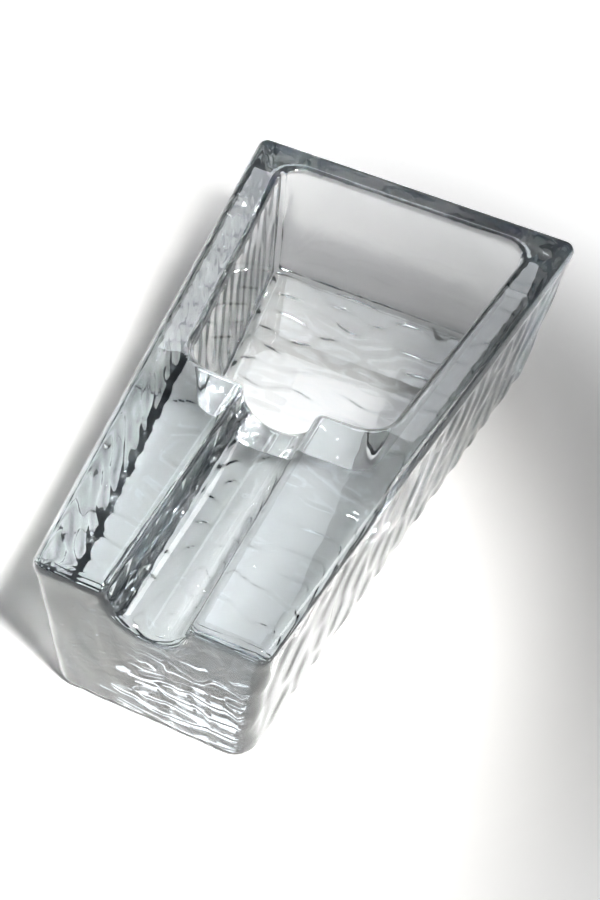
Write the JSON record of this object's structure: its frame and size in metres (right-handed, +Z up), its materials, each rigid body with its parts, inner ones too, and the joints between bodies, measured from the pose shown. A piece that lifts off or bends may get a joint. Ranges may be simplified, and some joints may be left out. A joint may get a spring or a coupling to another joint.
{
  "type": "cigar ashtray",
  "caption": "Heavy tapered block of smoke-grey pressed glass with a deep rounded well and a round-bottomed cigar rest running out through its narrow end; outer walls rippled.",
  "frame": {"origin": "centre of the base's bounding rectangle, at the height of the surface that the ashtray stands on", "axes": "+Z up, +Y from the narrow end with the cigar rest towards the wide end, +X to the right when looking along +Y; the shape is symmetric about X 0"},
  "size_m": [0.1096, 0.1896, 0.055],
  "materials": {
    "smoke_glass": "polished rim, well and cigar rest; fire-polished ripple on the outer walls and base"
  },
  "bodies": {
    "root": {"glass_body": "smoke_glass"}
  },
  "joints": []
}
